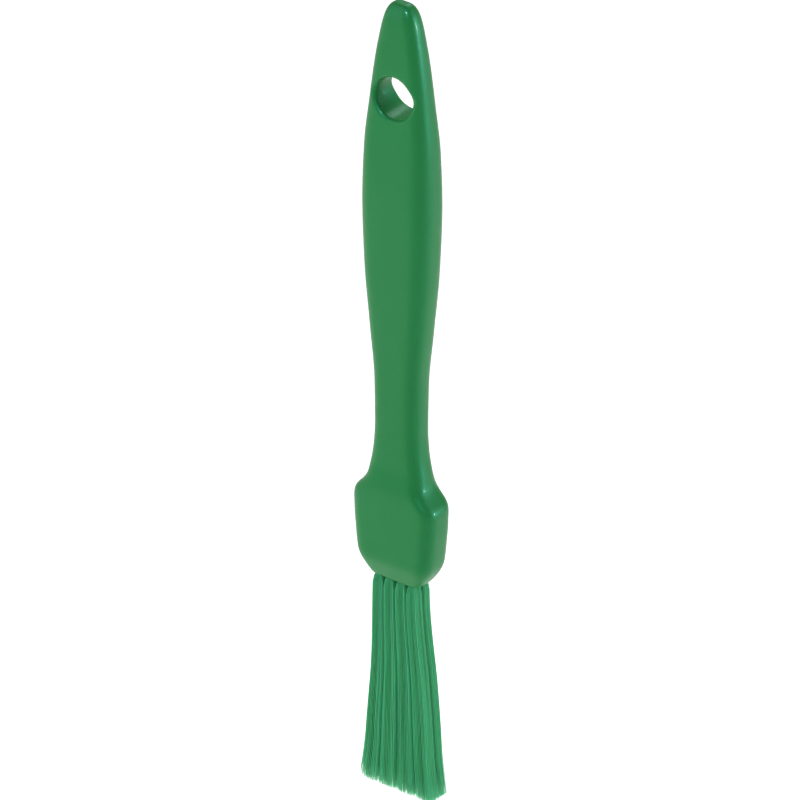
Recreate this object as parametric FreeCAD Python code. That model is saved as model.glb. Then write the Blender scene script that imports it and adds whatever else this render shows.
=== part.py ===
import FreeCAD, Part
import math
import os

# Narrow filament brush: one moulded handle with a hanging hole, and a flat fanned head of eight tufts,
# each folded over an anchor wire in its own drilled hole. Millimetres.
# The origin is the centre of the hanging hole. +Z runs up the handle towards its rounded end, X is across the
# width and Y through the thickness.

# Driving dimensions
handle_top = 22.7
block_bottom = -123.0
bristle_tip = -177.3

hang_hole_radius = 5.0
hang_rim_radius = 1.0

# Long enough to pass right through the handle
cutter_length = 30.0

tuft_columns = 4
tuft_rows = 2
column_pitch = 3.2
row_pitch = 2.8
tuft_hole_radius = 1.15
tuft_hole_depth = 9.0
drill_point_angle = 118.0
drill_start = 1.0
tuft_hole_clearance = 0.04
tuft_end_clearance = 0.1

head_tip_half_width = 9.7
head_tip_half_thickness = 3.1
tip_gap = 0.15
tip_corner_radius = 0.9

# Corner radius of a tuft's plug as a share of its radius, just short of fully round
plug_corner_share = 0.95

anchor_length = 2.8
anchor_height = 1.5
anchor_thickness = 0.35
anchor_below_hole_end = 1.1

# Handle stations: height, half width, half thickness, corner radius
handle_stations = [
    (handle_top, 1.0, 0.6, 0.58),
    (22.4, 2.3, 1.4, 1.35),
    (21.3, 3.4, 2.15, 2.1),
    (19.0, 4.4, 2.75, 2.7),
    (14.5, 5.45, 3.05, 2.9),
    (8.0, 6.6, 3.4, 3.15),
    (-1.5, 7.85, 3.8, 3.5),
    (-13.5, 9.1, 4.5, 4.0),
    (-27.0, 9.5, 4.95, 4.5),
    (-43.0, 9.0, 4.7, 4.3),
    (-59.0, 7.6, 4.25, 3.9),
    (-73.0, 6.35, 3.85, 3.5),
    (-84.0, 6.2, 3.7, 3.3),
    (-90.0, 6.6, 3.7, 3.3),
    (-94.5, 7.4, 3.8, 3.4),
    (-97.8, 8.1, 4.35, 3.6),
    (-100.0, 9.5, 4.6, 3.6),
    (-101.8, 11.0, 4.65, 3.6),
    (-103.2, 11.45, 4.65, 3.6),
    (-105.5, 11.45, 4.65, 3.6),
    (-112.0, 11.0, 4.65, 3.6),
    (-117.2, 10.35, 4.65, 3.6),
    (-118.8, 9.8, 4.4, 3.4),
    (-120.6, 8.8, 3.8, 3.0),
    (-122.4, 7.4, 3.15, 2.4),
    (block_bottom, 6.75, 2.8, 2.0),
]

# Longest gap between two neighbouring cross-sections of the handle
section_gap = 2.6

# Points along each half of a cross-section's outline
handle_outline_points = 29
tuft_outline_points = 15

# How a corner turns: 2 is an arc, and a little more eases it into the flat sides
handle_roundness = 2.3
tuft_roundness = 2.0

# Steps round each corner when its outline is measured
corner_steps = 60

# Cross-sections along each tuft's plug and along its fan, which widens fastest half way down
plug_sections = 3
fan_sections = 9


def half_outline(half_x, half_y, corner, roundness, count):
    """Evenly spaced points round the back half of a rounded rectangle, from its right side to its left."""
    flat_x = half_x - corner
    flat_y = half_y - corner
    quarter = [(half_x, 0.0)]
    for i in range(corner_steps + 1):
        angle = math.pi / 2 * i / corner_steps
        x = flat_x + corner * math.cos(angle) ** (2 / roundness)
        y = flat_y + corner * math.sin(angle) ** (2 / roundness)
        quarter.append((x, y))
    quarter.append((0.0, half_y))
    path = quarter + [(-x, y) for x, y in reversed(quarter[:-1])]
    lengths = [0.0]
    for (x1, y1), (x2, y2) in zip(path, path[1:]):
        lengths.append(lengths[-1] + math.hypot(x2 - x1, y2 - y1))
    points = [path[0]]
    step = 0
    for i in range(1, count - 1):
        along = lengths[-1] * i / (count - 1)
        while lengths[step + 1] < along:
            step += 1
        share = (along - lengths[step]) / (lengths[step + 1] - lengths[step])
        (x1, y1), (x2, y2) = path[step], path[step + 1]
        points.append((x1 + (x2 - x1) * share, y1 + (y2 - y1) * share))
    points.append(path[-1])
    return points


def solid_through(sections, roundness, outline_points):
    """Solid with a smooth skin through level rounded sections, in two halves that meet at its sides."""
    skins = []
    for turn in (1, -1):
        rows = []
        for centre_x, centre_y, z, half_x, half_y, corner in sections:
            outline = half_outline(half_x, half_y, corner, roundness, outline_points)
            rows.append([FreeCAD.Vector(centre_x + turn * x, centre_y + turn * y, z) for x, y in outline])
        skin = Part.BSplineSurface()
        skin.interpolate(rows)
        skins.append(skin.toShape())
    ends = []
    for section in (sections[0], sections[-1]):
        z = section[2]
        edges = [edge for skin in skins for edge in skin.Edges]
        rim = [edge for edge in edges if all(abs(v.Z - z) < 1e-3 for v in edge.Vertexes)]
        ends.append(Part.Face(Part.Wire(Part.__sortEdges__(rim))))
    shell = Part.makeShell(skins + ends)
    shell.sewShape()
    solid = Part.makeSolid(shell)
    if solid.Volume < 0:
        solid.reverse()
    return solid


def smooth_slopes(positions, values):
    """Slope at each value for a smooth curve that never swings past the values on either side."""
    steps = [b - a for a, b in zip(positions, positions[1:])]
    rises = [(b - a) / step for a, b, step in zip(values, values[1:], steps)]
    slopes = [rises[0]]
    for i in range(1, len(rises)):
        before, after = rises[i - 1], rises[i]
        if before * after <= 0:
            slopes.append(0.0)
        else:
            weight_before = 2 * steps[i] + steps[i - 1]
            weight_after = steps[i] + 2 * steps[i - 1]
            mean = (weight_before / before + weight_after / after) / (weight_before + weight_after)
            slopes.append(1.0 / mean)
    slopes.append(rises[-1])
    return slopes


def handle_sections():
    """Cross-sections of the handle, close enough together to follow the smooth curves between stations."""
    positions = [0.0]
    for a, b in zip(handle_stations, handle_stations[1:]):
        positions.append(positions[-1] + math.hypot(b[0] - a[0], b[1] - a[1]))
    columns = list(zip(*handle_stations))
    slopes = [smooth_slopes(positions, column) for column in columns]
    sections = [(0, 0, *handle_stations[0])]
    for i in range(len(handle_stations) - 1):
        span = positions[i + 1] - positions[i]
        pieces = math.ceil(span / section_gap)
        for piece in range(1, pieces + 1):
            t = piece / pieces
            row = []
            for column, slope in zip(columns, slopes):
                start = column[i] * (1 + 2 * t) * (1 - t) ** 2 + slope[i] * span * t * (1 - t) ** 2
                end = column[i + 1] * t * t * (3 - 2 * t) - slope[i + 1] * span * t * t * (1 - t)
                row.append(start + end)
            sections.append((0, 0, *row))
    return sections


def tuft_places():
    """Name part, hole centre on the block's underside and centre of the tuft's tip, for each tuft."""
    tip_pitch_x = 2.0 * head_tip_half_width / tuft_columns
    tip_pitch_y = 2.0 * head_tip_half_thickness / tuft_rows
    places = []
    for row, row_name in enumerate(["front", "back"]):
        for column in range(tuft_columns):
            across = column - (tuft_columns - 1) / 2.0
            through = row - (tuft_rows - 1) / 2.0
            root = (across * column_pitch, through * row_pitch)
            tip = (across * tip_pitch_x, through * tip_pitch_y)
            places.append((f"{row_name}_{column + 1}", root, tip))
    return places


def make_anchor(root):
    """Short piece of flat wire lying across the end of a tuft hole, its ends bitten into the plastic."""
    x, y = root
    top = block_bottom + tuft_hole_depth - anchor_below_hole_end
    corner = FreeCAD.Vector(x - anchor_length / 2.0, y - anchor_thickness / 2.0, top - anchor_height)
    return Part.makeBox(anchor_length, anchor_thickness, anchor_height, corner)


def make_tuft_hole(root):
    """Drilled hole with the cone that a twist drill leaves at its end."""
    x, y = root
    mouth = FreeCAD.Vector(x, y, block_bottom - drill_start)
    shaft = Part.makeCylinder(tuft_hole_radius, tuft_hole_depth + drill_start, mouth)
    cone_height = tuft_hole_radius / math.tan(math.radians(drill_point_angle / 2.0))
    end = FreeCAD.Vector(x, y, block_bottom + tuft_hole_depth)
    return shaft.fuse(Part.makeCone(tuft_hole_radius, 0.0, cone_height, end))


def make_tuft(root, tip, anchor):
    """Bundle of filaments: a round plug in its hole, then a fan that ends in a rounded rectangle."""
    plug_radius = tuft_hole_radius - tuft_hole_clearance
    plug_corner = plug_corner_share * plug_radius
    tip_half_x = head_tip_half_width / tuft_columns - tip_gap / 2.0
    tip_half_y = head_tip_half_thickness / tuft_rows - tip_gap / 2.0
    plug_top = block_bottom + tuft_hole_depth - tuft_end_clearance
    sections = []
    for i in range(plug_sections):
        z = plug_top + (block_bottom - plug_top) * i / plug_sections
        sections.append((*root, z, plug_radius, plug_radius, plug_corner))
    for i in range(fan_sections):
        step = i / (fan_sections - 1)
        spread = step * step * (3.0 - 2.0 * step)
        x = root[0] + (tip[0] - root[0]) * spread
        y = root[1] + (tip[1] - root[1]) * spread
        z = block_bottom + (bristle_tip - block_bottom) * step
        half_x = plug_radius + (tip_half_x - plug_radius) * spread
        half_y = plug_radius + (tip_half_y - plug_radius) * spread
        corner = plug_corner + (tip_corner_radius - plug_corner) * spread
        sections.append((x, y, z, half_x, half_y, corner))
    return solid_through(sections, tuft_roundness, tuft_outline_points).cut(anchor)


def rim_edges(shape):
    """The edges where the hanging hole breaks through the front and the back of the handle."""
    found = []
    for edge in shape.Edges:
        start = edge.valueAt(edge.FirstParameter)
        middle = edge.valueAt((edge.FirstParameter + edge.LastParameter) / 2.0)
        on_hole = all(abs(math.hypot(p.x, p.z) - hang_hole_radius) < 0.01 for p in (start, middle))
        if on_hole and start.y * middle.y > 0:
            found.append(edge)
    return found


def make_handle(places, anchors):
    """Grip, neck and block in one moulding, with the hanging hole and the drilled tuft holes."""
    handle = solid_through(handle_sections(), handle_roundness, handle_outline_points)
    cutter_start = FreeCAD.Vector(0, -cutter_length / 2.0, 0)
    hole = Part.makeCylinder(hang_hole_radius, cutter_length, cutter_start, FreeCAD.Vector(0, 1, 0))
    handle = handle.cut(hole)
    handle = handle.makeFillet(hang_rim_radius, rim_edges(handle))
    drilled = [make_tuft_hole(root) for name, root, tip in places]
    return handle.cut(drilled + anchors)


def export(shape, name):
    shape.exportStep(f"parts/{name}.step")
    print(f"{name:16s} valid {shape.isValid()} solids {len(shape.Solids)} volume {shape.Volume:9.2f}")


os.makedirs("parts", exist_ok=True)
all_places = tuft_places()
all_anchors = [make_anchor(root) for name, root, tip in all_places]
export(make_handle(all_places, all_anchors), "handle")
for (place_name, place_root, place_tip), place_anchor in zip(all_places, all_anchors):
    export(make_tuft(place_root, place_tip, place_anchor), f"tuft_{place_name}")
    export(place_anchor, f"anchor_{place_name}")
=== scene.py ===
import math
import random

import bpy
import bmesh
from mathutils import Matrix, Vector


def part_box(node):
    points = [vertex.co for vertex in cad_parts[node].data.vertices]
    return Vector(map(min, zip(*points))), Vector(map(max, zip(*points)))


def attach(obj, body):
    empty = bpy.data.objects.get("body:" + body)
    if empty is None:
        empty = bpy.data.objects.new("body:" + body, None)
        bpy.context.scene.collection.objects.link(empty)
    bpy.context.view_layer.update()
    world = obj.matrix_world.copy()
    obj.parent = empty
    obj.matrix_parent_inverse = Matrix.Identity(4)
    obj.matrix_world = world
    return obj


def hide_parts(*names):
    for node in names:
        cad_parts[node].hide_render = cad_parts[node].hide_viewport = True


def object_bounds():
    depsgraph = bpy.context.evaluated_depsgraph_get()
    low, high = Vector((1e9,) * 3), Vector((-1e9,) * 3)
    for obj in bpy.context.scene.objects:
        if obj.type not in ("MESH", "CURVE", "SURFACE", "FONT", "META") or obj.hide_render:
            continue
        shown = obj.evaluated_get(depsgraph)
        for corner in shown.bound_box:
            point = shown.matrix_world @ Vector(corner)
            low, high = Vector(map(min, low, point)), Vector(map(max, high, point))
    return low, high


# Narrow filament brush: a moulded handle and eight tufts of real filaments, each folded over its anchor wire.
# Metres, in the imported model's frame: +Z up the handle, X across the width, -Y the front.

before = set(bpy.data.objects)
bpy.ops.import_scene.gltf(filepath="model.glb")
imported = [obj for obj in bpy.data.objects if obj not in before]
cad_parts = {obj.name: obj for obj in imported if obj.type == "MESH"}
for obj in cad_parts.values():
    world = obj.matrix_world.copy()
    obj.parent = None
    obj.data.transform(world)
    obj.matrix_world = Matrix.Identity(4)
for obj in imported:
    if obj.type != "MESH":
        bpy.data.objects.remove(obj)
cad_low, cad_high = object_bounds()

MM = 0.001
ROWS = ("front", "back")
COLUMNS = ("1", "2", "3", "4")
TUFTS = [f"{row}_{column}" for row in ROWS for column in COLUMNS]

# Each row's and column's place, counted in rows and columns from the middle of the head
THROUGH = {row: i - (len(ROWS) - 1) / 2.0 for i, row in enumerate(ROWS)}
ACROSS = {column: i - (len(COLUMNS) - 1) / 2.0 for i, column in enumerate(COLUMNS)}

# Filaments, folded in half: each gives two ends
FILAMENTS_PER_TUFT = 110
FILAMENT_RADIUS = 0.066 * MM
BUNDLE_RADIUS = 1.08 * MM
RANDOM_SEED = 7

# Each filament's mesh. With a crowding above 1, the rings lie closer together near the holes.
TUBE_SIDES = 6
FAN_RINGS = 16
FOLD_RINGS = 5
RING_CROWDING = 1.5
END_RADIUS_SHARE = 0.62

# The head's shape. Lengths down the head without a unit are shares of its length, from the holes to the tips.
CELL_FILL = 0.98
CELL_SQUARENESS = 4
SWELL_LENGTH = 0.03
HEAD_LEAN = 0.85 * MM
LEAN_START = 0.08
LEAN_LENGTH = 0.42
TIP_FLARE = 0.12
FLARE_START = 0.82
FLARE_LENGTH = 0.18
TIP_ROUNDING_LEFT = 2.7 * MM
TIP_ROUNDING_RIGHT = 1.5 * MM
TIP_OVERHANG = 0.5 * MM

# How filaments differ from each other
WAVE = 0.08 * MM
WAVE_TURNS = (0.7, 1.3)
UNEVEN_TIPS = 0.08 * MM
STRAY_SHARE = 0.03
STRAY_REACH = 0.2 * MM
LOCK_TONE_SHARE = 0.6

HANDLE_SMOOTH_ANGLE = math.radians(35.0)
WELD_DISTANCE = 0.001 * MM

# Camera
CAMERA_AZIMUTH = math.radians(38.0)
CAMERA_ELEVATION = math.radians(29.5)
CAMERA_DISTANCE = 3.0
CAMERA_LENS = 604.4
CAMERA_SENSOR = 36.0
CAMERA_CLIP_END = 100.0
CAMERA_ROLL = 0.003
CAMERA_SHIFT = (-0.0021, -0.0018)

# Floor, far enough below that the brush casts no shadow in view
FLOOR_DROP = 0.5
FLOOR_HALF = 12.0
FLOOR_GLOW = 0.62

# Light from the surroundings, which the camera itself sees as plain white
WORLD_LIGHT = 0.36

# Large lamps: metres to the camera's right, level towards the camera and up, then size and power
FILL_LAMPS = {
    "softbox_left": (-1.25, 0.25, 0.5, (0.9, 1.5), 11.0),
    "softbox_right": (1.25, 0.25, 0.5, (0.9, 1.5), 9.0),
    "back": (0.25, -0.75, 0.85, (0.5, 0.5), 5.0),
}

# Small lamps that only add highlights: place from the brush's middle, and power
HIGHLIGHT_LAMP_SIZE = (0.05, 0.05)
HIGHLIGHT_LAMPS = {
    "shoulder_lamp": (Vector((1.10, 0.45, 0.05)), 14.0),
    "rim_lamp": (Vector((0.32, -0.85, 0.85)), 16.0),
}

GOLDEN_TURN = math.pi * (3.0 - math.sqrt(5.0))


def new_material(name):
    """A material with an empty node tree but for its output and a principled shader."""
    material = bpy.data.materials.new(name)
    material.use_nodes = True
    tree = material.node_tree
    tree.nodes.clear()
    output = tree.nodes.new("ShaderNodeOutputMaterial")
    shader = tree.nodes.new("ShaderNodeBsdfPrincipled")
    tree.links.new(shader.outputs["BSDF"], output.inputs["Surface"])
    return material, tree, shader


def object_noise(tree, scale, detail, stretch=(1.0, 1.0, 1.0)):
    """Noise over the object's own coordinates, with the coordinates stretched first."""
    place = tree.nodes.new("ShaderNodeTexCoord")
    mapping = tree.nodes.new("ShaderNodeMapping")
    mapping.inputs["Scale"].default_value = stretch
    noise = tree.nodes.new("ShaderNodeTexNoise")
    noise.inputs["Scale"].default_value = scale
    noise.inputs["Detail"].default_value = detail
    tree.links.new(place.outputs["Object"], mapping.inputs["Vector"])
    tree.links.new(mapping.outputs["Vector"], noise.inputs["Vector"])
    return noise.outputs["Fac"]


def ramp(tree, factor, low_colour, high_colour, low=0.3, high=0.7):
    """Colour that goes from low_colour to high_colour as the factor rises."""
    node = tree.nodes.new("ShaderNodeValToRGB")
    node.color_ramp.elements[0].position = low
    node.color_ramp.elements[0].color = (*low_colour, 1.0)
    node.color_ramp.elements[1].position = high
    node.color_ramp.elements[1].color = (*high_colour, 1.0)
    tree.links.new(factor, node.inputs["Fac"])
    return node.outputs["Color"]


def span(tree, factor, low, high):
    """Number that goes from low to high as a noise goes through its usual range."""
    node = tree.nodes.new("ShaderNodeMapRange")
    node.inputs["From Min"].default_value = 0.3
    node.inputs["From Max"].default_value = 0.7
    node.inputs["To Min"].default_value = low
    node.inputs["To Max"].default_value = high
    tree.links.new(factor, node.inputs["Value"])
    return node.outputs["Result"]


def bump(tree, shader, height, strength, distance):
    """Surface relief from a height."""
    node = tree.nodes.new("ShaderNodeBump")
    node.inputs["Strength"].default_value = strength
    node.inputs["Distance"].default_value = distance
    tree.links.new(height, node.inputs["Height"])
    tree.links.new(node.outputs["Normal"], shader.inputs["Normal"])


def moulded_plastic():
    """Through-coloured satin plastic with a fine moulded grain and faint flow marks along the handle."""
    material, tree, shader = new_material("moulded_plastic")
    flow = object_noise(tree, 60.0, 3.0, (1.0, 1.0, 0.25))
    colour = ramp(tree, flow, (0.0140, 0.164, 0.032), (0.0165, 0.181, 0.037))
    tree.links.new(colour, shader.inputs["Base Color"])
    patches = object_noise(tree, 350.0, 2.0)
    tree.links.new(span(tree, patches, 0.40, 0.47), shader.inputs["Roughness"])
    shader.inputs["Specular IOR Level"].default_value = 0.3
    shader.inputs["Specular Tint"].default_value = (0.1, 1.0, 0.8, 1.0)
    shader.inputs["Coat Weight"].default_value = 0.08
    shader.inputs["Coat Roughness"].default_value = 0.14
    shader.inputs["Coat IOR"].default_value = 1.4
    grain = object_noise(tree, 3500.0, 2.0)
    bump(tree, shader, grain, 0.12, 0.00004)
    return material


def filament():
    """Extruded filament: each one its own shade, a little lighter than the handle."""
    material, tree, shader = new_material("filament")
    tone = tree.nodes.new("ShaderNodeAttribute")
    tone.attribute_name = "tone"
    colour = ramp(tree, tone.outputs["Fac"], (0.050, 0.345, 0.125), (0.078, 0.500, 0.235), 0.0, 1.0)
    tree.links.new(colour, shader.inputs["Base Color"])
    streak = object_noise(tree, 900.0, 2.0, (1.0, 1.0, 0.05))
    tree.links.new(span(tree, streak, 0.34, 0.44), shader.inputs["Roughness"])
    shader.inputs["Subsurface Weight"].default_value = 0.6
    shader.inputs["Subsurface Radius"].default_value = (0.5, 1.0, 0.8)
    shader.inputs["Subsurface Scale"].default_value = 0.0004
    shader.inputs["Specular IOR Level"].default_value = 0.35
    shader.inputs["Specular Tint"].default_value = (0.45, 1.0, 0.85, 1.0)
    bump(tree, shader, streak, 0.08, 0.00002)
    return material


def anchor_steel():
    """Flat stainless wire with fine drawing lines along its length."""
    material, tree, shader = new_material("anchor_steel")
    lines = object_noise(tree, 4000.0, 2.0, (0.05, 1.0, 1.0))
    colour = ramp(tree, lines, (0.50, 0.50, 0.49), (0.62, 0.62, 0.61))
    tree.links.new(colour, shader.inputs["Base Color"])
    tree.links.new(span(tree, lines, 0.25, 0.38), shader.inputs["Roughness"])
    shader.inputs["Metallic"].default_value = 1.0
    bump(tree, shader, lines, 0.15, 0.00002)
    return material


def paper():
    """Plain white studio paper, lit evenly."""
    material, tree, shader = new_material("studio_paper")
    fibres = object_noise(tree, 40.0, 2.0)
    colour = ramp(tree, fibres, (0.90, 0.90, 0.90), (0.92, 0.92, 0.92))
    tree.links.new(colour, shader.inputs["Base Color"])
    shader.inputs["Roughness"].default_value = 0.9
    shader.inputs["Emission Color"].default_value = (1.0, 1.0, 1.0, 1.0)
    shader.inputs["Emission Strength"].default_value = FLOOR_GLOW
    return material


def smooth_handle(material):
    """The CAD handle's own shape, welded and shaded smoothly up to its real edges."""
    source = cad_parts["handle"]
    mesh = source.data.copy()
    mesh.name = "brush_handle"
    work = bmesh.new()
    work.from_mesh(mesh)
    bmesh.ops.remove_doubles(work, verts=work.verts, dist=WELD_DISTANCE)
    work.to_mesh(mesh)
    work.free()
    handle = bpy.data.objects.new("brush_handle", mesh)
    bpy.context.scene.collection.objects.link(handle)
    mesh.materials.clear()
    mesh.materials.append(material)
    for polygon in mesh.polygons:
        polygon.use_smooth = True
        polygon.material_index = 0
    mesh.set_sharp_from_angle(angle=HANDLE_SMOOTH_ANGLE)
    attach(handle, "root")
    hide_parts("handle")


def smoothstep(t):
    """Eases from 0 to 1 as t does."""
    return t * t * (3.0 - 2.0 * t)


def tube(points, radius, vertices, faces):
    """Adds one round filament along the points, with blunt rounded ends."""
    count = len(points)
    start = len(vertices)
    side = Vector((1.0, 0.0, 0.0))
    for i, point in enumerate(points):
        ahead = points[min(i + 1, count - 1)]
        behind = points[max(i - 1, 0)]
        along = (ahead - behind).normalized()
        across = along.cross(side).normalized()
        side = across.cross(along).normalized()
        ring_radius = radius * (END_RADIUS_SHARE if i in (0, count - 1) else 1.0)
        for k in range(TUBE_SIDES):
            turn = 2.0 * math.pi * k / TUBE_SIDES
            vertices.append(point + ring_radius * (math.cos(turn) * across + math.sin(turn) * side))
    for i in range(count - 1):
        for k in range(TUBE_SIDES):
            a = start + i * TUBE_SIDES + k
            b = start + i * TUBE_SIDES + (k + 1) % TUBE_SIDES
            faces.append((a, b, b + TUBE_SIDES, a + TUBE_SIDES))
    faces.append(tuple(start + k for k in reversed(range(TUBE_SIDES))))
    last = start + (count - 1) * TUBE_SIDES
    faces.append(tuple(last + k for k in range(TUBE_SIDES)))


class Tuft:
    """Where one tuft's hole, anchor wire and tip are, read from the CAD nodes."""

    def __init__(self, name):
        low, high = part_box(f"tuft_{name}")
        anchor_low, anchor_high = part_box(f"anchor_{name}")
        handle_low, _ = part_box("handle")
        first_low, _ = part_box("tuft_front_1")
        row, column = name.split("_")
        self.root = (anchor_low + anchor_high) / 2.0
        self.mouth = handle_low.z
        self.tip = low.z
        self.anchor_top = anchor_high.z
        self.anchor_half = (anchor_high.y - anchor_low.y) / 2.0
        self.hole_end = high.z
        self.head_half = -first_low.x
        self.root_pitch_x = abs(self.root.x) / abs(ACROSS[column])
        self.root_pitch_y = abs(self.root.y) / abs(THROUGH[row])
        self.tip_pitch_x = 2.0 * self.head_half / len(COLUMNS)
        self.tip_pitch_y = -first_low.y
        self.tip_x = ACROSS[column] * self.tip_pitch_x
        self.tip_y = THROUGH[row] * self.tip_pitch_y


def clamp(value, low, high):
    return max(low, min(high, value))


def end_trim(x, head_half):
    """How much shorter the filaments are cut towards either side of the head, whose end is rounded."""
    rounding = TIP_ROUNDING_LEFT if x < 0.0 else TIP_ROUNDING_RIGHT
    beyond = clamp(abs(x) - (head_half - rounding), 0.0, rounding)
    return rounding - math.sqrt(rounding ** 2 - beyond ** 2)


def filament_leg(tuft, disc_x, disc_y, rng):
    """Centre line of one leg of a folded filament, from the mouth of its hole down to its tip."""
    radius = BUNDLE_RADIUS - FILAMENT_RADIUS
    reach = max(math.hypot(disc_x, disc_y), 1e-9)
    power = CELL_SQUARENESS
    square = ((abs(disc_x) / reach) ** power + (abs(disc_y) / reach) ** power) ** (-1.0 / power)
    share_x = CELL_FILL * square * disc_x / radius
    share_y = CELL_FILL * square * disc_y / radius
    stray_x, stray_y = 0.0, 0.0
    if rng.random() < STRAY_SHARE:
        stray_x = rng.uniform(-1.0, 1.0) * STRAY_REACH
        stray_y = rng.uniform(-1.0, 1.0) * STRAY_REACH
    trim = end_trim(tuft.tip_x + share_x * tuft.tip_pitch_x / 2.0, tuft.head_half)
    tip_z = tuft.tip - TIP_OVERHANG + trim + rng.random() * UNEVEN_TIPS
    wave_turn = rng.uniform(0.0, 2.0 * math.pi)
    wave_side = rng.uniform(0.0, 2.0 * math.pi)
    wave_turns = rng.uniform(*WAVE_TURNS)
    points = []
    for i in range(FAN_RINGS):
        z = tuft.mouth + (tip_z - tuft.mouth) * (i / (FAN_RINGS - 1)) ** RING_CROWDING
        down = (z - tuft.mouth) / (tuft.tip - tuft.mouth)
        spread = smoothstep(down)
        # Round in its hole, the bundle soon swells against its neighbours, then fans out with them.
        swell = smoothstep(min(down / SWELL_LENGTH, 1.0))
        cell_x = share_x * (tuft.root_pitch_x + (tuft.tip_pitch_x - tuft.root_pitch_x) * spread) / 2.0
        cell_y = share_y * (tuft.root_pitch_y + (tuft.tip_pitch_y - tuft.root_pitch_y) * spread) / 2.0
        local_x = disc_x + (cell_x - disc_x) * swell + stray_x * down
        local_y = disc_y + (cell_y - disc_y) * swell + stray_y * down
        centre_x = tuft.root.x + (tuft.tip_x - tuft.root.x) * spread
        centre_y = tuft.root.y + (tuft.tip_y - tuft.root.y) * spread
        flare = 1.0 + TIP_FLARE * smoothstep(clamp((down - FLARE_START) / FLARE_LENGTH, 0.0, 1.0))
        lean = HEAD_LEAN * smoothstep(clamp((down - LEAN_START) / LEAN_LENGTH, 0.0, 1.0))
        swing = WAVE * down * math.sin(wave_turn + 2.0 * math.pi * wave_turns * down)
        x = (centre_x + local_x) * flare + lean + swing * math.cos(wave_side)
        y = centre_y + local_y + swing * math.sin(wave_side)
        points.append(Vector((x, y, z)))
    return points


def lock_tone(x, y):
    """Slow change of shade across the head, which gives lighter and darker locks."""
    return 0.5 + 0.25 * math.sin(2600.0 * x + 900.0 * y) + 0.25 * math.sin(6100.0 * x - 2300.0 * y + 1.0)


def build_tuft(name, material, rng):
    """One tuft: filaments folded over the anchor wire at their middle, both legs fanning out of the hole."""
    tuft = Tuft(name)
    radius = BUNDLE_RADIUS - FILAMENT_RADIUS
    clear = tuft.anchor_half + FILAMENT_RADIUS
    room = tuft.hole_end - tuft.anchor_top - 2.0 * FILAMENT_RADIUS
    crown = tuft.anchor_top + FILAMENT_RADIUS
    vertices, faces, tones = [], [], []
    for i in range(FILAMENTS_PER_TUFT):
        # Places fill the back half of the bundle, and each filament's front leg mirrors its back one.
        share = math.sqrt((i + 0.5) / FILAMENTS_PER_TUFT)
        turn = (i * GOLDEN_TURN) % math.pi
        disc_x = radius * share * math.cos(turn)
        disc_y = radius * share * math.sin(turn)
        front = filament_leg(tuft, disc_x, -disc_y, rng)
        back = filament_leg(tuft, disc_x, disc_y, rng)
        beside = clear + (radius - clear) * disc_y / radius
        widest = math.sqrt(max(radius ** 2 - beside ** 2, 0.0))
        hole_x = tuft.root.x + clamp(disc_x, -widest, widest)
        rise = room * disc_y / radius
        fold = []
        for k in range(FOLD_RINGS):
            angle = math.pi * k / (FOLD_RINGS - 1)
            y = tuft.root.y - beside * math.cos(angle)
            z = crown + rise * math.sin(angle)
            fold.append(Vector((hole_x, y, z)))
        points = list(reversed(front)) + fold + back
        before = len(vertices)
        tube(points, FILAMENT_RADIUS, vertices, faces)
        lock = lock_tone(tuft.tip_x + disc_x * 2.0, tuft.tip_y)
        tone = LOCK_TONE_SHARE * lock + (1.0 - LOCK_TONE_SHARE) * rng.random()
        tones.extend([tone] * (len(vertices) - before))
    mesh = bpy.data.meshes.new(f"filaments_{name}")
    mesh.from_pydata([tuple(v) for v in vertices], [], faces)
    mesh.materials.append(material)
    attribute = mesh.attributes.new("tone", "FLOAT", "POINT")
    attribute.data.foreach_set("value", tones)
    for polygon in mesh.polygons:
        polygon.use_smooth = len(polygon.vertices) == 4
    mesh.update()
    piece = bpy.data.objects.new(f"filaments_{name}", mesh)
    bpy.context.scene.collection.objects.link(piece)
    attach(piece, "root")
    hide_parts(f"tuft_{name}")


def add_area_light(name, place, target, size, power, fills):
    """Rectangular lamp aimed at a target. One that doesn't fill adds highlights but no even light."""
    data = bpy.data.lights.new(name, "AREA")
    data.shape = "RECTANGLE"
    data.size, data.size_y = size
    data.energy = power
    light = bpy.data.objects.new(name, data)
    bpy.context.scene.collection.objects.link(light)
    light.visible_diffuse = fills
    light.location = place
    light.rotation_euler = (target - place).to_track_quat("-Z", "Y").to_euler()


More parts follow.
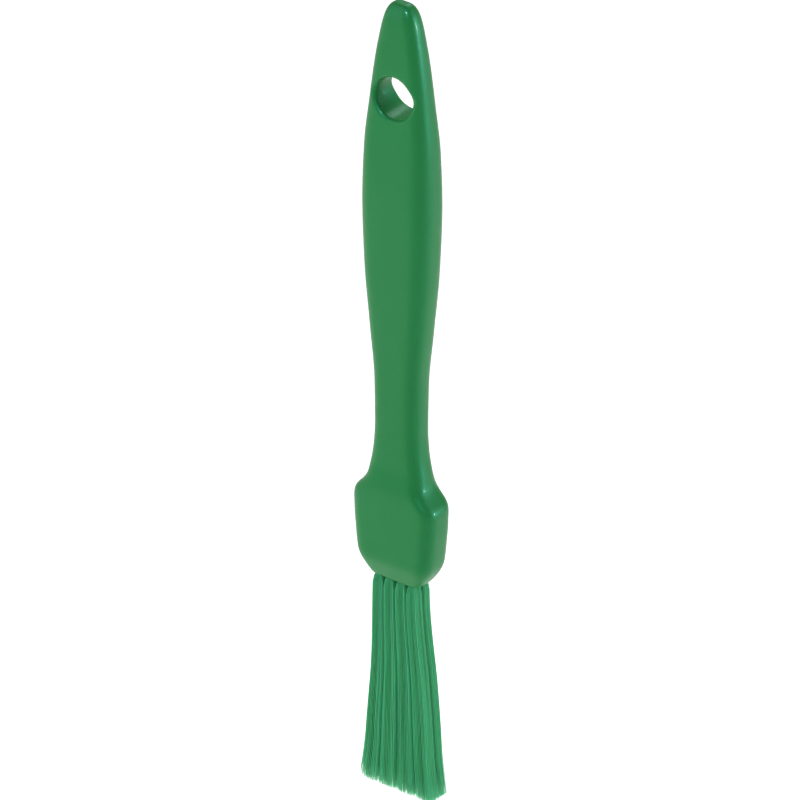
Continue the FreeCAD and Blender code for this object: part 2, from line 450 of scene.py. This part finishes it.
def build_camera_and_lamps():
    """Long lens aimed at the brush's middle, a softbox on each side of it, and small lamps for highlights."""
    middle = Vector((0.0, 0.0, (cad_low.z + cad_high.z) / 2.0))
    toward = Vector((
        math.sin(CAMERA_AZIMUTH) * math.cos(CAMERA_ELEVATION),
        -math.cos(CAMERA_AZIMUTH) * math.cos(CAMERA_ELEVATION),
        math.sin(CAMERA_ELEVATION),
    ))
    level = Vector((math.sin(CAMERA_AZIMUTH), -math.cos(CAMERA_AZIMUTH), 0.0))
    right = Vector((math.cos(CAMERA_AZIMUTH), math.sin(CAMERA_AZIMUTH), 0.0))
    up = Vector((0.0, 0.0, 1.0))

    camera_data = bpy.data.cameras.new("camera")
    camera_data.lens = CAMERA_LENS
    camera_data.sensor_width = CAMERA_SENSOR
    camera_data.shift_x, camera_data.shift_y = CAMERA_SHIFT
    camera_data.clip_end = CAMERA_CLIP_END
    camera = bpy.data.objects.new("camera", camera_data)
    bpy.context.scene.collection.objects.link(camera)
    camera.location = middle + CAMERA_DISTANCE * toward
    camera.rotation_euler = (-toward).to_track_quat("-Z", "Y").to_euler()
    camera.rotation_euler.rotate_axis("Z", CAMERA_ROLL)
    bpy.context.scene.camera = camera

    for name, (across, ahead, above, size, power) in FILL_LAMPS.items():
        place = middle + across * right + ahead * level + above * up
        add_area_light(name, place, middle, size, power, True)
    for name, (offset, power) in HIGHLIGHT_LAMPS.items():
        add_area_light(name, middle + offset, middle, HIGHLIGHT_LAMP_SIZE, power, False)


def build_floor():
    """Pale paper floor under the brush."""
    paper_mesh = bpy.data.meshes.new("floor")
    work = bmesh.new()
    bmesh.ops.create_grid(work, x_segments=8, y_segments=8, size=FLOOR_HALF)
    work.to_mesh(paper_mesh)
    work.free()
    paper_mesh.materials.append(paper())
    floor = bpy.data.objects.new("floor", paper_mesh)
    bpy.context.scene.collection.objects.link(floor)
    floor.location = (0.0, 0.0, cad_low.z - FLOOR_DROP)


def build_world():
    """White surroundings, which light the brush less than they look."""
    world = bpy.data.worlds.new("studio")
    bpy.context.scene.world = world
    world.use_nodes = True
    tree = world.node_tree
    background = tree.nodes["Background"]
    background.inputs["Color"].default_value = (1.0, 1.0, 1.0, 1.0)
    path = tree.nodes.new("ShaderNodeLightPath")
    strength = tree.nodes.new("ShaderNodeMapRange")
    strength.inputs["To Min"].default_value = WORLD_LIGHT
    strength.inputs["To Max"].default_value = 1.0
    tree.links.new(path.outputs["Is Camera Ray"], strength.inputs["Value"])
    tree.links.new(strength.outputs["Result"], background.inputs["Strength"])


def main():
    handle_material = moulded_plastic()
    filament_material = filament()
    steel = anchor_steel()
    smooth_handle(handle_material)
    rng = random.Random(RANDOM_SEED)
    for name in TUFTS:
        build_tuft(name, filament_material, rng)
        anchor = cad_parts[f"anchor_{name}"]
        anchor.data.materials.clear()
        anchor.data.materials.append(steel)
    build_camera_and_lamps()
    build_floor()
    build_world()
    bpy.context.scene.view_settings.view_transform = "Standard"


main()
